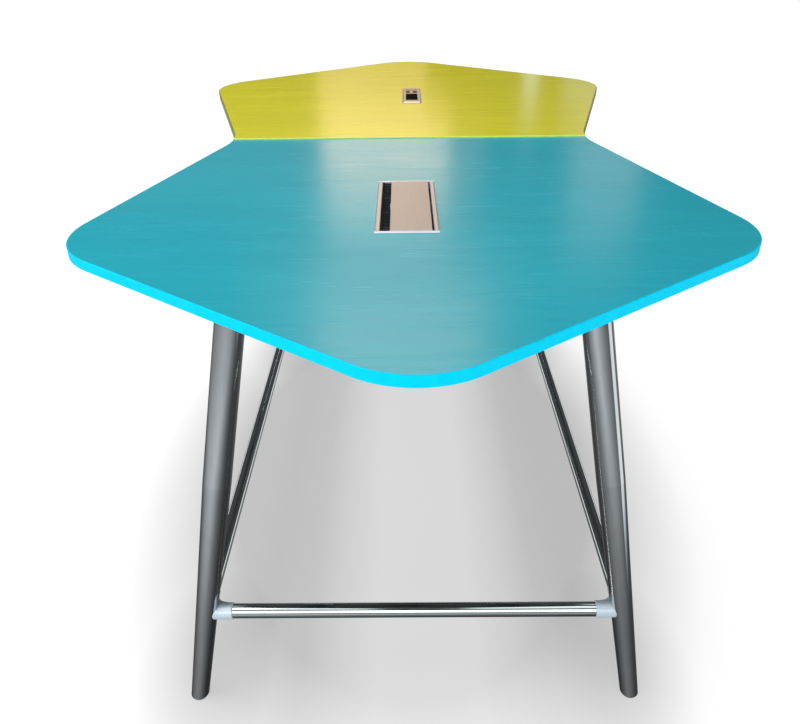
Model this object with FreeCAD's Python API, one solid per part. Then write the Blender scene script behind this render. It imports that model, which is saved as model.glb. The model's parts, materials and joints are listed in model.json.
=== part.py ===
import FreeCAD, Part
import math
import os

V = FreeCAD.Vector

# A bar-height shared desk with an hourglass top on four splayed legs.
# Millimetres. X runs to the right, Y away from the near half, Z up from the floor.
# The origin is on the floor under the middle of the waist.

# Top: corners of the outline before rounding, and the radii that round them
worktop_height = 1050.0
near_board_thickness = 19.6
far_board_step = 3.0
waist_half_width = 448.0
side_half_width = 652.0
side_from_seam = 708.0
nose_from_seam = 1178.0
waist_radius = 200.0
side_radius = 165.0
nose_radius = 150.0
seam_gap = 0.4

# Edge bands and the dowels across the seam
band_thickness = 2.0
band_edge_bevel = 0.8
dowel_diameter = 8.0
dowel_length = 50.0
dowel_end_room = 2.0
dowel_positions = (-330.0, -190.0, 190.0, 330.0)

# Steel rails under the top
rail_width = 50.0
rail_depth = 25.0
rail_wall = 2.0
side_rail_past_leg = 77.0
cross_rail_past_leg = 17.0
plug_cap_thickness = 3.0
plug_depth = 12.0

# Wood screws of the rails
screw_diameter = 4.5
screw_head_diameter = 9.0
screw_head_height = 3.0
screw_grip = 12.0
screw_from_seam = 110.0
screw_from_mount = 43.0
cross_screw_x = 180.0
mid_screw_y = 14.0

# Hexagon drives in the screw heads, as shares of the head's diameter and height
drive_width_share = 0.42
drive_depth_share = 0.6

# Legs: places of the leg axis on the floor, and how far it leans inwards up to the mount plate
leg_foot_x = 498.0
leg_foot_y = 865.0
leg_splay_x = 175.0
leg_splay_y = 162.0
leg_top_diameter = 58.0
leg_foot_diameter = 40.0
leg_taper_length = 577.0
leg_wall = 2.0

# Leg mounts, their bolts and set screws
mount_length = 120.0
mount_width = 100.0
mount_thickness = 6.0
mount_corner_radius = 10.0
spigot_length = 60.0
mount_bolt_diameter = 6.0
mount_bolt_across_flats = 10.0
mount_bolt_head_height = 4.0
mount_bolt_length = 14.0
mount_bolt_x = 16.0
mount_bolt_y = 46.0
set_screw_diameter = 6.0
set_screw_length = 8.0
set_screw_drop = 30.0
set_screw_drive_width = 3.0
set_screw_drive_depth = 3.5

# Glides in the leg ends
glide_height = 4.0
glide_inset = 1.5
glide_plug_depth = 20.0
glide_edge_bevel = 1.0

# Footrest bars and the cast corner connectors
bar_height = 237.0
bar_diameter = 32.0
bar_wall = 1.5
bar_insertion = 28.0
connector_diameter = 36.0
connector_reach = 59.0
connector_rim_bevel = 1.2
web_radius = 26.0
web_thickness = 26.0
web_edge_radius = 8.0
connector_bolt_diameter = 6.0
connector_bolt_head_diameter = 10.5
connector_bolt_head_height = 4.0
connector_bolt_sink = 5.0
connector_bolt_length = 20.0

# Cable box in the near half
cable_box_x = -10.0
cable_box_y = -513.0
cable_box_width = 120.0
cable_box_length = 300.0
cable_lip_height = 3.0
cable_lip_bevel = 2.6
cable_rail_inner_bevel = 1.0
cable_end_inner_bevel = 2.0
cable_rail_width = 10.0
cable_rail_overlap = 4.0
cable_web_thickness = 3.0
cable_end_width = 6.0
cable_end_overlap = 2.0
cable_end_wall = 3.0
cable_web_drop = 12.0

# Lid of the cable box and its hinge
brush_width = 18.0
lid_brush_gap = 0.4
lid_end_gap = 0.6
lid_slot = 3.2
lid_thickness = 3.0
lid_bevel = 0.8
lid_fold_depth = 5.0
lid_fold_thickness = 2.0
hinge_drop = 4.0
hinge_barrel_diameter = 6.0
hinge_pin_diameter = 3.0
hinge_pin_grip = 10.0
lid_ledge_width = 20.0
lid_ledge_depth = 5.0
lid_ledge_height = 4.0
lid_ledge_from_fold = 3.0

# Brush beside the lid
holder_width = 6.0
holder_height = 8.0
bristle_thickness = 1.6
bristle_drop = 1.2
bristle_root = 3.0
bristle_tip_gap = 0.3
tuft_count = 48
tuft_gap = 1.4

# Cable bin, clamps and screws of the cable box
bin_depth = 90.0
bin_rim_drop = 14.0
bin_wall = 1.2
outlet_width = 70.0
outlet_height = 34.0
outlet_floor = 12.0
outlet_radius = 6.0
clamp_foot = 15.0
clamp_thickness = 3.0
clamp_width = 25.0
clamp_screw_diameter = 4.0
clamp_screw_head_diameter = 8.0
clamp_screw_head_height = 2.5
clamp_screw_length = 11.0
cable_clamp_y = 90.0

# Power module in the far half
module_x = 12.0
module_y = 500.0
module_width = 58.0
module_length = 210.0
module_lip_height = 4.5
module_lip_bevel = 3.6
module_corner_radius = 6.0
module_rail_width = 11.0
module_end_width = 26.0
module_overlap = 4.0
skirt_wall = 3.0
skirt_depth = 10.0
housing_depth = 48.0
housing_wall = 2.0

# Inserts of the power module
insert_sink = 1.5
insert_flange_thickness = 2.0
insert_body_depth = 16.0
insert_body_inset = 3.0
socket_length = 49.0
socket_hole_diameter = 4.8
socket_hole_depth = 10.0
socket_hole_spacing = 19.0
socket_earth_offset = 11.0
socket_well_diameter = 32.0
socket_well_depth = 0.8
port_width = 11.2
port_length = 26.0
port_margin = 0.8
port_sink = 1.0
shutter_flange = 0.6
shutter_flange_thickness = 2.0
shutter_depth = 10.0

# Push button and its switch body
button_diameter = 8.4
button_rise = 1.3
button_travel = 2.0
button_side_gap = 0.3
button_flange_diameter = 9.8
button_flange_thickness = 1.6
button_stop_gap = 0.3
button_stem_diameter = 4.0
button_stem_length = 9.0
button_edge_bevel = 0.6
switch_length = 20.0
switch_top_room = 2.0

# Mains inlet and clamps of the power module
inlet_width = 24.0
inlet_height = 18.0
inlet_length = 20.0
inlet_wall = 3.0
inlet_recess = 12.0
inlet_pin_diameter = 3.0
inlet_pin_length = 5.0
inlet_pin_spacing = 5.5
inlet_spigot_inset = 2.0
inlet_below_board = 6.0
module_clamp_drop = 14.0

# Clearances, and how closely two levels must agree to count as one
slip_fit = 0.1
push_fit = 0.2
running_fit = 0.05
cutout_gap = 1.0
part_gap = 0.2
level_match = 0.01

# Levels that follow from the sizes above
far_board_thickness = near_board_thickness + far_board_step
board_underside = worktop_height - near_board_thickness
far_top = board_underside + far_board_thickness
rail_underside = board_underside - rail_depth
mount_underside = rail_underside - mount_thickness
leg_top_x = leg_foot_x - leg_splay_x
leg_top_y = leg_foot_y - leg_splay_y
side_rail_length = 2 * (leg_top_y + side_rail_past_leg)
cross_rail_from_seam = leg_top_y + cross_rail_past_leg
last_screw_y = leg_top_y - mount_length / 2 - screw_from_mount
side_screw_positions = (screw_from_seam, (screw_from_seam + last_screw_y) / 2, last_screw_y)
leg_corners = {"near_left": (-1, -1), "near_right": (1, -1), "far_left": (-1, 1), "far_right": (1, 1)}

nodes = {}


def block(x, y, z):
    """A box between two values along each axis, given as pairs."""
    return Part.makeBox(x[1] - x[0], y[1] - y[0], z[1] - z[0], V(x[0], y[0], z[0]))


def centred_block(centre, width, length, z):
    """A box centred on a point in plan, between two levels."""
    half_width = width / 2
    half_length = length / 2
    return block((centre[0] - half_width, centre[0] + half_width),
                 (centre[1] - half_length, centre[1] + half_length), z)


def rod(diameter, start, end):
    """A round rod from one point to another."""
    return Part.makeCylinder(diameter / 2, (end - start).Length, start, end - start)


def rounded_face(corners, radii):
    """A flat face with a rounded corner at each point."""
    rounds = []
    for index, corner in enumerate(corners):
        to_last = (corners[index - 1] - corner).normalize()
        to_next = (corners[(index + 1) % len(corners)] - corner).normalize()
        half_angle = to_last.getAngle(to_next) / 2
        radius = radii[index]
        reach = radius / math.tan(half_angle)
        inward = (to_last + to_next).normalize()
        middle = corner + inward * (radius / math.sin(half_angle) - radius)
        rounds.append((corner + to_last * reach, middle, corner + to_next * reach))
    edges = []
    for index, (start, middle, end) in enumerate(rounds):
        following = rounds[(index + 1) % len(rounds)][0]
        edges.append(Part.Arc(start, middle, end).toShape())
        edges.append(Part.LineSegment(end, following).toShape())
    return Part.Face(Part.Wire(edges))


def rounded_block(centre, width, length, z, radius):
    """A box with rounded upright edges, centred in plan, between two levels."""
    half_width = width / 2
    half_length = length / 2
    corners = [V(centre[0] + sx * half_width, centre[1] + sy * half_length, z[0])
               for sx, sy in ((-1, -1), (1, -1), (1, 1), (-1, 1))]
    return rounded_face(corners, [radius] * len(corners)).extrude(V(0, 0, z[1] - z[0]))


def profile_along_y(points, y):
    """A prism along Y from a closed outline of (x, z) points."""
    corners = [V(px, y[0], pz) for px, pz in points]
    return Part.Face(Part.makePolygon(corners + corners[:1])).extrude(V(0, y[1] - y[0], 0))


def profile_along_x(points, x):
    """A prism along X from a closed outline of (y, z) points."""
    corners = [V(x[0], py, pz) for py, pz in points]
    return Part.Face(Part.makePolygon(corners + corners[:1])).extrude(V(x[1] - x[0], 0, 0))


def hex_rod(across_flats, start, end):
    """A hexagonal rod from one point to another."""
    corner_radius = across_flats / math.sqrt(3)
    turns = [math.radians(60 * step) for step in range(6)]
    corners = [V(corner_radius * math.cos(turn), corner_radius * math.sin(turn), 0) for turn in turns]
    prism = Part.Face(Part.makePolygon(corners + corners[:1])).extrude(V(0, 0, (end - start).Length))
    prism.Placement = FreeCAD.Placement(start, FreeCAD.Rotation(V(0, 0, 1), end - start))
    return prism


def hex_bolt(across_flats, head_height, diameter, length, seat):
    """A hexagon bolt that points up, its head below the seat."""
    head = hex_rod(across_flats, seat - V(0, 0, head_height), seat)
    return head.fuse(rod(diameter, seat, seat + V(0, 0, length))).removeSplitter()


def round_screw(head_diameter, head_height, diameter, length, seat, way):
    """A screw with a round head on a seat, a hexagon drive in the head and a shank along the given way."""
    face = seat - way * head_height
    screw = rod(head_diameter, face, seat).fuse(rod(diameter, seat, seat + way * length)).removeSplitter()
    drive_width = head_diameter * drive_width_share
    drive_depth = head_height * drive_depth_share
    return screw.cut(hex_rod(drive_width, face, face + way * drive_depth))


def at_level(shape, level):
    """The edges of a shape that lie flat at one level."""
    return [edge for edge in shape.Edges
            if max(abs(edge.BoundBox.ZMin - level), abs(edge.BoundBox.ZMax - level)) < level_match]


# Outline of the top

def half_faces():
    """The near and far halves of the hourglass, on the floor plane, either side of the seam."""
    corners = [V(0, -nose_from_seam), V(side_half_width, -side_from_seam), V(waist_half_width, 0),
               V(side_half_width, side_from_seam), V(0, nose_from_seam), V(-side_half_width, side_from_seam),
               V(-waist_half_width, 0), V(-side_half_width, -side_from_seam)]
    radii = [nose_radius, side_radius, waist_radius, side_radius] * 2
    whole = rounded_face(corners, radii)
    near_area = Part.makePlane(2 * side_half_width, nose_from_seam,
                               V(-side_half_width, -nose_from_seam - seam_gap / 2))
    far_area = Part.makePlane(2 * side_half_width, nose_from_seam, V(-side_half_width, seam_gap / 2))
    return whole.common(near_area).Faces[0], whole.common(far_area).Faces[0]


def board_and_band(face, thickness):
    """The board of one half and the edge band round it."""
    base = face.copy()
    base.translate(V(0, 0, board_underside))
    whole = base.extrude(V(0, 0, thickness))
    eased = whole.makeChamfer(band_edge_bevel,
                              at_level(whole, board_underside) + at_level(whole, board_underside + thickness))
    core_face = Part.Face(base.OuterWire.makeOffset2D(-band_thickness))
    board = core_face.extrude(V(0, 0, thickness))
    return board, eased.cut(board)


# Dowels, rails and screws

def dowel(x, diameter, length):
    level = board_underside + near_board_thickness / 2
    return rod(diameter, V(x, -length / 2, level), V(x, length / 2, level))


def rail_tube(centre, size_x, size_y):
    """A rectangular steel tube under the boards, open at the ends of its longer side."""
    outer = centred_block(centre, size_x, size_y, (rail_underside, board_underside))
    bore_x = size_x if size_x > size_y else size_x - 2 * rail_wall
    bore_y = size_y if size_y > size_x else size_y - 2 * rail_wall
    bore = centred_block(centre, bore_x, bore_y, (rail_underside + rail_wall, board_underside - rail_wall))
    return outer.cut(bore)


def rail_plug(side, end):
    """A plastic plug in the open end of a side rail."""
    x = side * leg_top_x
    y = end * side_rail_length / 2
    cap = block((x - rail_width / 2, x + rail_width / 2),
                sorted((y, y + end * plug_cap_thickness)), (rail_underside, board_underside))
    inside = rail_wall + push_fit
    tongue = block((x - rail_width / 2 + inside, x + rail_width / 2 - inside),
                   sorted((y, y - end * plug_depth)), (rail_underside + inside, board_underside - inside))
    return cap.fuse(tongue).removeSplitter()


def rail_screw_places():
    """Every point where a wood screw goes up through a rail."""
    places = []
    for side in (-1, 1):
        places += [V(side * leg_top_x, end * y, rail_underside)
                   for y in side_screw_positions for end in (-1, 1)]
        places += [V(side * cross_screw_x, end * cross_rail_from_seam, rail_underside) for end in (-1, 1)]
        places += [V(side * cross_screw_x, end * mid_screw_y, rail_underside) for end in (-1, 1)]
    return places


def rail_screw(place):
    return round_screw(screw_head_diameter, screw_head_height, screw_diameter,
                       rail_depth + screw_grip, place, V(0, 0, 1))


def rail_screw_hole(place):
    return rod(screw_diameter + 2 * slip_fit, place, place + V(0, 0, rail_depth + screw_grip + push_fit))


# Legs

def leg_axis(sx, sy):
    """The points of a leg's axis on the floor and under its mount plate."""
    return V(sx * leg_foot_x, sy * leg_foot_y, 0), V(sx * leg_top_x, sy * leg_top_y, mount_underside)


def axis_point(sx, sy, level):
    foot, top = leg_axis(sx, sy)
    return foot + (top - foot) * (level / mount_underside)


def leg_form(sx, sy, offset, z):
    """The leg's turned form, grown by an offset, cut level at its two ends."""
    foot, top = leg_axis(sx, sy)
    length = (top - foot).Length
    spare = leg_top_diameter
    slope = (leg_top_diameter - leg_foot_diameter) / 2 / leg_taper_length
    top_radius = leg_top_diameter / 2 + offset
    low_radius = leg_foot_diameter / 2 + offset - slope * spare
    outline = [V(0, 0, -spare), V(low_radius, 0, -spare), V(top_radius, 0, leg_taper_length),
               V(top_radius, 0, length + spare), V(0, 0, length + spare)]
    turned = Part.Face(Part.makePolygon(outline + outline[:1])).revolve(V(0, 0, 0), V(0, 0, 1), 360)
    turned.Placement = FreeCAD.Placement(foot, FreeCAD.Rotation(V(0, 0, 1), top - foot))
    reach = max(leg_foot_x, leg_foot_y) + leg_top_diameter
    return turned.common(block((-reach, reach), (-reach, reach), z))


def inward(sx, sy):
    """The level diagonal from a leg towards the middle of the desk."""
    return V(-sx, -sy, 0).normalize()


def set_screw_end(sx, sy):
    """The point on a leg's inner side where its set screw ends."""
    return axis_point(sx, sy, mount_underside - set_screw_drop) + inward(sx, sy) * (leg_top_diameter / 2)


def set_screw_hole(sx, sy, length):
    """A rod that goes in through the wall of a leg on its inner side."""
    outside = set_screw_end(sx, sy)
    return rod(set_screw_diameter + 2 * slip_fit, outside, outside - inward(sx, sy) * length)


def set_screw(sx, sy):
    """A headless screw through the wall of a leg, with a hexagon drive."""
    outside = set_screw_end(sx, sy)
    way = -inward(sx, sy)
    drive = hex_rod(set_screw_drive_width, outside, outside + way * set_screw_drive_depth)
    return rod(set_screw_diameter, outside, outside + way * set_screw_length).cut(drive)


def connector_bolt_seat(sx, sy):
    """The point where the head of a connector's bolt sits."""
    web_corner = connector_diameter / 2 + web_radius
    depth = web_corner * math.sqrt(2) - web_radius - connector_bolt_sink
    return axis_point(sx, sy, bar_height) + inward(sx, sy) * depth


def leg(sx, sy):
    z = (glide_height, mount_underside)
    tube = leg_form(sx, sy, 0, z).cut(leg_form(sx, sy, -leg_wall, z))
    seat = connector_bolt_seat(sx, sy)
    bolt_hole = rod(connector_bolt_diameter + 2 * slip_fit, seat,
                    seat - inward(sx, sy) * (connector_bolt_length + push_fit))
    return tube.cut(bolt_hole).cut(set_screw_hole(sx, sy, set_screw_length))


def leg_mount(sx, sy):
    """A plate with a slanted spigot that fills the top of a leg."""
    top = leg_axis(sx, sy)[1]
    plate = rounded_block((top.x, top.y), mount_width, mount_length,
                          (mount_underside, rail_underside), mount_corner_radius)
    spigot = leg_form(sx, sy, -leg_wall - slip_fit, (mount_underside - spigot_length, mount_underside))
    mount = plate.fuse(spigot).removeSplitter()
    for place in mount_bolt_places(sx, sy):
        mount = mount.cut(mount_bolt_hole(place))
    return mount.cut(set_screw_hole(sx, sy, set_screw_length + push_fit))


def mount_bolt_places(sx, sy):
    top = leg_axis(sx, sy)[1]
    return [top + V(bx * mount_bolt_x, by * mount_bolt_y, 0) for bx in (-1, 1) for by in (-1, 1)]


def mount_bolt(place):
    return hex_bolt(mount_bolt_across_flats, mount_bolt_head_height, mount_bolt_diameter,
                    mount_bolt_length, place)


def mount_bolt_hole(place):
    return rod(mount_bolt_diameter + 2 * slip_fit, place, place + V(0, 0, mount_bolt_length + push_fit))


def glide(sx, sy):
    """A plastic foot: a level disc with a plug up the leg."""
    foot = axis_point(sx, sy, glide_height / 2)
    radius = leg_foot_diameter / 2 - glide_inset
    disc = Part.makeCylinder(radius, glide_height, V(foot.x, foot.y, 0))
    disc = disc.makeChamfer(glide_edge_bevel, at_level(disc, 0))
    plug = leg_form(sx, sy, -leg_wall - slip_fit, (glide_height, glide_height + glide_plug_depth))
    return disc.fuse(plug).removeSplitter()


# Footrest

def bar(start, end):
    """A chrome tube between two leg axes, its ends inside the connectors."""
    way = (end - start).normalize()
    short = connector_reach - bar_insertion
    first = start + way * short
    last = end - way * short
    return rod(bar_diameter, first, last).cut(rod(bar_diameter - 2 * bar_wall, first, last))


def connector(sx, sy):
    """A cast corner: two sleeves and a filleted web, coped to the leg."""
    centre = axis_point(sx, sy, bar_height)
    ways = (V(-sx, 0, 0), V(0, -sy, 0))
    body = connector_web(centre, ways)
    for way in ways:
        sleeve = rod(connector_diameter, centre, centre + way * connector_reach)
        rim = [edge for edge in sleeve.Edges
               if edge.Closed and (edge.CenterOfMass - centre).Length > connector_reach / 2]
        body = body.fuse(sleeve.makeChamfer(connector_rim_bevel, rim))
    body = body.removeSplitter()
    spare = connector_diameter
    body = body.cut(leg_form(sx, sy, slip_fit, (bar_height - spare, bar_height + spare)))
    for way in ways:
        mouth = centre + way * connector_reach
        body = body.cut(rod(bar_diameter + 2 * slip_fit, mouth - way * (bar_insertion + part_gap), mouth))
    seat = connector_bolt_seat(sx, sy)
    out = inward(sx, sy)
    body = body.cut(rod(connector_bolt_diameter + 2 * slip_fit, seat, seat - out * connector_bolt_length))
    return body.cut(rod(connector_bolt_head_diameter + 2 * push_fit, seat, seat + out * connector_reach))


def connector_web(centre, ways):
    """The web in a connector's inner corner, hollowed by one round and eased at its edges."""
    first, second = ways
    radius = connector_diameter / 2
    reach = radius + web_radius
    base = centre - V(0, 0, web_thickness / 2)
    start = base + first * reach + second * radius
    end = base + first * radius + second * reach
    hollow = base + (first + second) * reach
    middle = hollow - (first + second).normalize() * web_radius
    edges = [Part.Arc(start, middle, end).toShape()]
    corners = [end, base + second * reach, base, base + first * reach, start]
    edges += [Part.LineSegment(a, b).toShape() for a, b in zip(corners, corners[1:])]
    web = Part.Face(Part.Wire(edges)).extrude(V(0, 0, web_thickness))
    curved = [edge for edge in web.Edges if isinstance(edge.Curve, Part.Circle)]
    return web.makeFillet(web_edge_radius, curved)


def connector_bolt(sx, sy):
    return round_screw(connector_bolt_head_diameter, connector_bolt_head_height, connector_bolt_diameter,
                       connector_bolt_length, connector_bolt_seat(sx, sy), -inward(sx, sy))


# Cable box: sizes that its pieces share, measured from its centre
cable_half_width = cable_box_width / 2
cable_half_length = cable_box_length / 2
cable_web_outer = cable_half_width - cable_rail_overlap - cutout_gap
cable_web_inner = cable_web_outer - cable_web_thickness
cable_rail_inner = cable_half_width - cable_rail_width
cable_end_inner = cable_half_length - cable_end_width
cable_cutout_width = cable_box_width - 2 * cable_rail_overlap
cable_cutout_length = cable_box_length - 2 * cable_end_overlap
cable_web_bottom = -near_board_thickness - cable_web_drop
lid_left = -cable_rail_inner + brush_width + lid_brush_gap
lid_right = cable_rail_inner - lid_slot
hinge_x = lid_right - hinge_barrel_diameter / 2
hinge_z = cable_lip_height - hinge_drop
clamp_screw_z = -near_board_thickness - cable_web_drop / 2 - clamp_thickness / 2


def in_cable_box(shape):
    """Moves a shape from the cable box's own centre to its place in the near board."""
    shape.translate(V(cable_box_x, cable_box_y, worktop_height))
    return shape


def cable_rail(side):
    """An extruded rail: a bevelled lip on the board and a web down the cut-out."""
    lip = cable_lip_height
    outline = [(cable_half_width, 0), (cable_half_width, lip - cable_lip_bevel),
               (cable_half_width - cable_lip_bevel, lip), (cable_rail_inner + cable_rail_inner_bevel, lip),
               (cable_rail_inner, lip - cable_rail_inner_bevel), (cable_rail_inner, 0),
               (cable_web_inner, 0), (cable_web_inner, cable_web_bottom),
               (cable_web_outer, cable_web_bottom), (cable_web_outer, 0)]
    rail = profile_along_y([(side * x, z) for x, z in outline], (-cable_end_inner, cable_end_inner))
    for y in (-cable_clamp_y, cable_clamp_y):
        rail = rail.cut(cable_screw_hole(side, y))
    return rail


def cable_end(end):
    """An end plate: a bevelled lip, a wall with the hinge bore, and a ledge under the lid."""
    lip = cable_lip_height
    lip_outline = [(cable_half_length, 0), (cable_half_length, lip - cable_lip_bevel),
                   (cable_half_length - cable_lip_bevel, lip), (cable_end_inner + cable_end_inner_bevel, lip),
                   (cable_end_inner, lip - cable_end_inner_bevel), (cable_end_inner, 0)]
    plate = profile_along_x([(end * y, z) for y, z in lip_outline], (-cable_half_width, cable_half_width))
    wall_y = sorted((end * cable_end_inner, end * (cable_end_inner + cable_end_wall)))
    plate = plate.fuse(block((-cable_web_outer, cable_web_outer), wall_y, (cable_web_bottom, 0)))
    ledge_x = lid_left + lid_fold_thickness + lid_ledge_from_fold
    ledge_y = sorted((end * cable_end_inner, end * (cable_end_inner - lid_ledge_depth)))
    ledge_top = lip - lid_thickness - push_fit
    ledge = block((ledge_x, ledge_x + lid_ledge_width), ledge_y, (ledge_top - lid_ledge_height, ledge_top))
    plate = plate.fuse(ledge).removeSplitter()
    return plate.cut(hinge_rod(end, hinge_pin_diameter + 2 * running_fit, lid_end_gap))


def hinge_rod(end, diameter, grip):
    """A rod on the hinge axis, from the outside of an end wall towards the lid."""
    outside = cable_end_inner + cable_end_wall
    inside = cable_end_inner - grip
    return rod(diameter, V(hinge_x, end * outside, hinge_z), V(hinge_x, end * inside, hinge_z))


def hinge_pin(end):
    return hinge_rod(end, hinge_pin_diameter, lid_end_gap + hinge_pin_grip)


def cable_lid():
    """The lid: a bevelled plate, a fold along the brush and a hinge barrel along the other edge."""
    top = cable_lip_height
    under = top - lid_thickness
    outline = [(lid_left, top - lid_bevel), (lid_left + lid_bevel, top), (lid_right - lid_bevel, top),
               (lid_right, top - lid_bevel), (lid_right, under), (lid_left + lid_fold_thickness, under),
               (lid_left + lid_fold_thickness, under - lid_fold_depth), (lid_left, under - lid_fold_depth)]
    half_length = cable_end_inner - lid_end_gap
    plate = profile_along_y(outline, (-half_length, half_length))
    ends = [edge for edge in at_level(plate, top) if edge.BoundBox.YLength < half_length]
    plate = plate.makeChamfer(lid_bevel, ends)
    barrel = rod(hinge_barrel_diameter, V(hinge_x, -half_length, hinge_z), V(hinge_x, half_length, hinge_z))
    lid = plate.fuse(barrel).removeSplitter()
    for end in (-1, 1):
        lid = lid.cut(hinge_rod(end, hinge_pin_diameter + 2 * running_fit,
                                lid_end_gap + hinge_pin_grip + push_fit))
    return lid


def brush_holder():
    """The strip under the left lip that grips the bristles."""
    right = -cable_web_inner + holder_width
    half_length = cable_end_inner - part_gap
    strip = block((-cable_web_inner, right), (-half_length, half_length), (-holder_height, 0))
    half_groove = bristle_thickness / 2 + slip_fit
    groove_z = -bristle_drop - bristle_thickness / 2
    groove = block((right - bristle_root - slip_fit, right), (-half_length, half_length),
                   (groove_z - half_groove, groove_z + half_groove))
    return strip.cut(groove)


def bristles():
    """A backing strip with a row of tufts that reach to the lid."""
    root = -cable_web_inner + holder_width - bristle_root
    tip = lid_left - lid_brush_gap - bristle_tip_gap
    half_length = cable_end_inner - part_gap
    z = (-bristle_drop - bristle_thickness, -bristle_drop)
    pitch = 2 * half_length / tuft_count
    outline = [(root, -half_length)]
    for index in range(tuft_count):
        start = -half_length + index * pitch + tuft_gap / 2
        finish = start + pitch - tuft_gap
        neck = root + bristle_root
        outline += [(neck, start), (tip, start), (tip, finish), (neck, finish)]
    outline.append((root, half_length))
    corners = [V(x, y, z[0]) for x, y in outline]
    return Part.Face(Part.makePolygon(corners + corners[:1])).extrude(V(0, 0, z[1] - z[0]))


def cable_bin():
    """The open tray that hangs between the webs, with a cable outlet in each end."""
    half_width = cable_web_inner - slip_fit
    half_length = cable_end_inner - slip_fit
    tray = block((-half_width, half_width), (-half_length, half_length), (-bin_depth, -bin_rim_drop))
    inside = block((-half_width + bin_wall, half_width - bin_wall),
                   (-half_length + bin_wall, half_length - bin_wall), (-bin_depth + bin_wall, -bin_rim_drop))
    tray = tray.cut(inside)
    outlet_z = -bin_depth + bin_wall + outlet_floor + outlet_height / 2
    corners = [V(sx * outlet_width / 2, -half_length, outlet_z + sz * outlet_height / 2)
               for sx, sz in ((-1, -1), (1, -1), (1, 1), (-1, 1))]
    outlets = rounded_face(corners, [outlet_radius] * len(corners)).extrude(V(0, 2 * half_length, 0))
    tray = tray.cut(outlets)
    for side in (-1, 1):
        for y in (-cable_clamp_y, cable_clamp_y):
            tray = tray.cut(cable_screw_hole(side, y))
    return tray


def angle_clamp(side, seat_x, underside, drop):
    """An angle that grips the underside of a board: one leg on a wall, a foot under the board."""
    outline = [(seat_x, underside), (seat_x + clamp_foot, underside),
               (seat_x + clamp_foot, underside - clamp_thickness),
               (seat_x + clamp_thickness, underside - clamp_thickness),
               (seat_x + clamp_thickness, underside - drop), (seat_x, underside - drop)]
    return profile_along_y([(side * x, z) for x, z in outline], (-clamp_width / 2, clamp_width / 2))


def cable_clamp(side, y):
    clamp = angle_clamp(side, cable_web_outer, -near_board_thickness, cable_web_drop)
    clamp.translate(V(0, y, 0))
    return clamp.cut(cable_screw_hole(side, y))


def cable_screw_seat(side, y):
    return V(side * (cable_web_outer + clamp_thickness), y, clamp_screw_z)


def cable_screw(side, y):
    return round_screw(clamp_screw_head_diameter, clamp_screw_head_height, clamp_screw_diameter,
                       clamp_screw_length, cable_screw_seat(side, y), V(-side, 0, 0))


def cable_screw_hole(side, y):
    seat = cable_screw_seat(side, y)
    return rod(clamp_screw_diameter + 2 * slip_fit, seat, seat + V(-side, 0, 0) * clamp_screw_length)


# Power module: sizes that its pieces share, measured from its centre
opening_width = module_width - 2 * module_rail_width
opening_length = module_length - 2 * module_end_width
module_cutout_width = module_width - 2 * module_overlap
module_cutout_length = module_length - 2 * module_overlap
skirt_width = module_cutout_width - 2 * cutout_gap
skirt_length = module_cutout_length - 2 * cutout_gap
housing_width = skirt_width - 2 * skirt_wall - 2 * slip_fit
housing_length = skirt_length - 2 * skirt_wall - 2 * slip_fit
insert_top = module_lip_height - insert_sink
insert_width = opening_width - 2 * part_gap
insert_flange_width = housing_width - 2 * housing_wall - 2 * part_gap
port_plate_length = opening_length - 2 * socket_length
port_plate_y = opening_length / 2 - port_plate_length / 2
port_x = insert_width / 2 - port_margin - port_width / 2
button_flange_top = -insert_flange_thickness - button_stop_gap
switch_width = 2 * (port_x - port_width / 2 - shutter_flange - part_gap)
switch_top = button_flange_top - button_flange_thickness - button_travel - switch_top_room
housing_floor = -housing_depth + housing_wall
inlet_z = -far_board_thickness - inlet_below_board - inlet_height / 2


def in_module(shape):
    """Moves a shape from the module's own centre to its place in the far board."""
    shape.translate(V(module_x, module_y, far_top))
    return shape


def module_frame():
    """The bevelled frame on the board, with a skirt down the cut-out."""
    frame = rounded_block((0, 0), module_width, module_length, (0, module_lip_height), module_corner_radius)
    frame = frame.makeChamfer(module_lip_bevel, at_level(frame, module_lip_height))
    skirt = centred_block((0, 0), skirt_width, skirt_length, (-skirt_depth, 0))
    skirt = skirt.cut(centred_block((0, 0), skirt_width - 2 * skirt_wall, skirt_length - 2 * skirt_wall,
                                    (-skirt_depth, 0)))
    opening = centred_block((0, 0), opening_width, opening_length, (0, module_lip_height))
    return frame.fuse(skirt).removeSplitter().cut(opening)


def module_housing():
    """The open box under the frame, with a hole for the mains inlet."""
    box = centred_block((0, 0), housing_width, housing_length, (-housing_depth, 0))
    box = box.cut(centred_block((0, 0), housing_width - 2 * housing_wall, housing_length - 2 * housing_wall,
                                (housing_floor, 0)))
    hole_width = inlet_width - 2 * inlet_spigot_inset
    hole_height = inlet_height - 2 * inlet_spigot_inset
    hole = block((-hole_width / 2, hole_width / 2), (housing_length / 2 - housing_wall, housing_length / 2),
                 (inlet_z - hole_height / 2, inlet_z + hole_height / 2))
    box = box.cut(hole)
    for side in (-1, 1):
        box = box.cut(module_screw_hole(side))
    return box


def insert_form(length, y):
    """An insert that fills part of the opening, with a flange under the frame."""
    top = centred_block((0, y), insert_width, length - part_gap, (0, insert_top))
    flange = centred_block((0, y), insert_flange_width, length - part_gap, (-insert_flange_thickness, 0))
    return top.fuse(flange).removeSplitter()


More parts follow.
